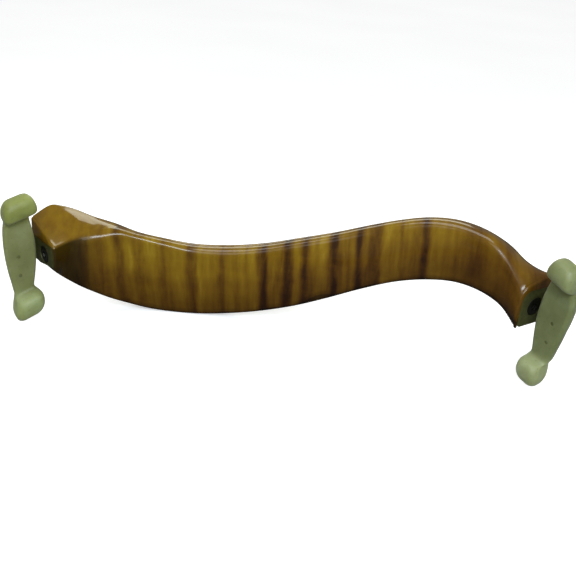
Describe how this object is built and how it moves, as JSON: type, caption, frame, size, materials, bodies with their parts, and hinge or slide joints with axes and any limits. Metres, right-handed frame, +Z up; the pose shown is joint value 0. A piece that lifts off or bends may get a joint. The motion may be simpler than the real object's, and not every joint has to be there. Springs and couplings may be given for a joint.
{
  "type": "violin shoulder rest",
  "caption": "S-curved varnished flamed-maple bar with a metal bracket at each end carrying a height-adjustable, swivelling two-eared rubber claw.",
  "frame": {"origin": "centre of the bounding box's base", "axes": "+X along the bar, -Y towards the violin, +Z up with the rest standing on its long edge"},
  "size_m": [0.2278, 0.048, 0.059],
  "materials": {
    "varnished_maple": "gloss varnish over flamed maple",
    "gum_rubber": "satin, slightly translucent moulded rubber",
    "bronzed_steel": "dark bronze, satin",
    "black_oxide": "black oxide",
    "plated_steel": "bright zinc plate",
    "brass": "turned, knurled",
    "spring_steel": "rolled strip"
  },
  "bodies": {
    "rest": {"bar": "varnished_maple", "insert_L": "brass", "insert_R": "brass", "bracket_L": "bronzed_steel", "bracket_R": "bronzed_steel", "bracket_screw_L": "black_oxide", "bracket_screw_R": "black_oxide"},
    "height_L": {"thrust_washer_L": "plated_steel"},
    "claw_L": {"claw_core_L": "spring_steel", "claw_boot_L": "gum_rubber"},
    "post_L": {"post_L": "plated_steel"},
    "lock_L": {"lock_washer_L": "plated_steel"},
    "nut_L": {"lock_nut_L": "brass"},
    "height_R": {"thrust_washer_R": "plated_steel"},
    "claw_R": {"claw_core_R": "spring_steel", "claw_boot_R": "gum_rubber"},
    "post_R": {"post_R": "plated_steel"},
    "lock_R": {"lock_washer_R": "plated_steel"},
    "nut_R": {"lock_nut_R": "brass"}
  },
  "joints": [
    {"name": "height_slide_L", "type": "slide", "parent": "rest", "child": "height_L", "axis": [0.766, -0.6428, 0], "range_m": [0, 0.004]},
    {"name": "claw_swivel_L", "type": "hinge", "parent": "height_L", "child": "claw_L", "pos_m": [-0.10077, -0.01396, 0.03261], "axis": [0.766, -0.6428, 0], "range_deg": [-6, 9]},
    {"name": "post_turn_L", "type": "hinge", "parent": "height_L", "child": "post_L", "pos_m": [-0.10077, -0.01396, 0.03261], "axis": [0.766, -0.6428, 0], "range_deg": [0, 2057.5]},
    {"name": "lock_slide_L", "type": "slide", "parent": "rest", "child": "lock_L", "axis": [0.766, -0.6428, 0], "range_m": [0, 0.0005]},
    {"name": "nut_turn_L", "type": "hinge", "parent": "lock_L", "child": "nut_L", "pos_m": [-0.10077, -0.01396, 0.03261], "axis": [0.766, -0.6428, 0], "range_deg": [0, 257.5]},
    {"name": "height_slide_R", "type": "slide", "parent": "rest", "child": "height_R", "axis": [-0.766, -0.6428, 0], "range_m": [0, 0.004]},
    {"name": "claw_swivel_R", "type": "hinge", "parent": "height_R", "child": "claw_R", "pos_m": [0.10077, -0.01396, 0.03261], "axis": [-0.766, -0.6428, 0], "range_deg": [-9, 6]},
    {"name": "post_turn_R", "type": "hinge", "parent": "height_R", "child": "post_R", "pos_m": [0.10077, -0.01396, 0.03261], "axis": [-0.766, -0.6428, 0], "range_deg": [0, 2057.5]},
    {"name": "lock_slide_R", "type": "slide", "parent": "rest", "child": "lock_R", "axis": [-0.766, -0.6428, 0], "range_m": [0, 0.0005]},
    {"name": "nut_turn_R", "type": "hinge", "parent": "lock_R", "child": "nut_R", "pos_m": [0.10077, -0.01396, 0.03261], "axis": [-0.766, -0.6428, 0], "range_deg": [0, 257.5]}
  ],
  "couplings": [
    {"joint": "post_turn_L", "follows": "height_slide_L", "rad_per_m": 8976},
    {"joint": "nut_turn_L", "follows": "lock_slide_L", "rad_per_m": 8976},
    {"joint": "post_turn_R", "follows": "height_slide_R", "rad_per_m": 8976},
    {"joint": "nut_turn_R", "follows": "lock_slide_R", "rad_per_m": 8976}
  ]
}
